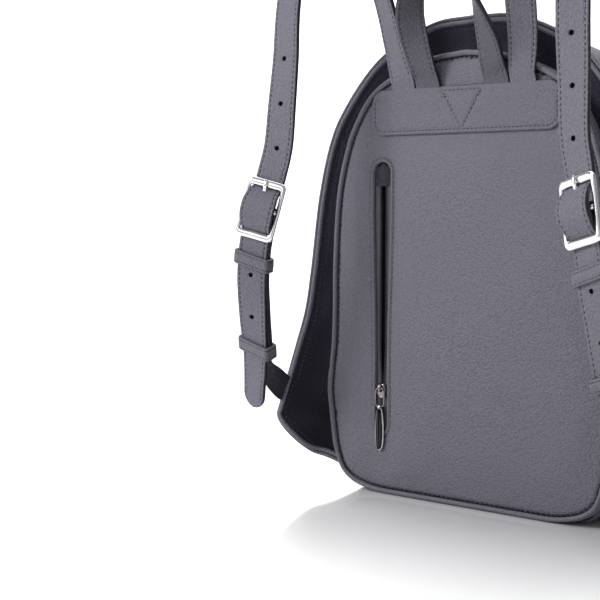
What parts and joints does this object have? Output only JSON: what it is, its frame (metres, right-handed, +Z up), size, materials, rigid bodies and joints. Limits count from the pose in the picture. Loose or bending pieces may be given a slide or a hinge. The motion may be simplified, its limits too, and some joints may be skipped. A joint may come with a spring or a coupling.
{
  "type": "backpack",
  "caption": "Arched leather backpack with a hidden rear opening, a zipped pocket in its padded back panel, a carrying handle and buckled shoulder straps",
  "frame": {"origin": "middle of the flat base that the bag stands on", "axes": "+X to the right seen from the wearer's side, +Y from the back panel to the front of the bag, +Z up"},
  "size_m": [0.358, 0.2121, 0.4486],
  "materials": {
    "leather": "slate grey pebbled leather with tonal stitching",
    "shadow_leather": "slate grey pebbled leather, a little darker, in the valley beside the panel",
    "pocket_cloth": "dark woven lining",
    "zip_cloth": "slate grey woven zip tape",
    "buckle_metal": "polished silver-coloured metal",
    "zip_metal": "polished dark gunmetal"
  },
  "bodies": {
    "bag": {"front_shell": "leather", "rear_gusset": "shadow_leather", "rim_piping": "leather", "back_panel": "leather", "panel_lip": "leather", "yoke_patch": "leather", "pocket_pouch": "pocket_cloth", "zip_garage": "leather", "zip_slider": "zip_metal", "carry_handle": "leather", "zip_tape_left": "zip_cloth", "shoulder_strap_left": "leather", "lower_strap_left": "leather", "buckle_frame_left": "buckle_metal", "buckle_tongue_left": "buckle_metal", "keeper_upper_left": "leather", "keeper_lower_left": "leather", "zip_tape_right": "zip_cloth", "shoulder_strap_right": "leather", "lower_strap_right": "leather", "buckle_frame_right": "buckle_metal", "buckle_tongue_right": "buckle_metal", "keeper_upper_right": "leather", "keeper_lower_right": "leather"},
    "pull_link": {"zip_link": "zip_metal"},
    "puller": {"zip_puller": "zip_metal"}
  },
  "joints": [
    {"name": "link_swing", "type": "hinge", "parent": "bag", "child": "pull_link", "pos_m": [-0.076, -0.04875, 0.0864], "axis": [-1, 0, 0], "range_deg": [0, 120]},
    {"name": "puller_swing", "type": "hinge", "parent": "pull_link", "child": "puller", "pos_m": [-0.076, -0.04875, 0.071], "axis": [-1, 0, 0], "range_deg": [0, 45]}
  ]
}
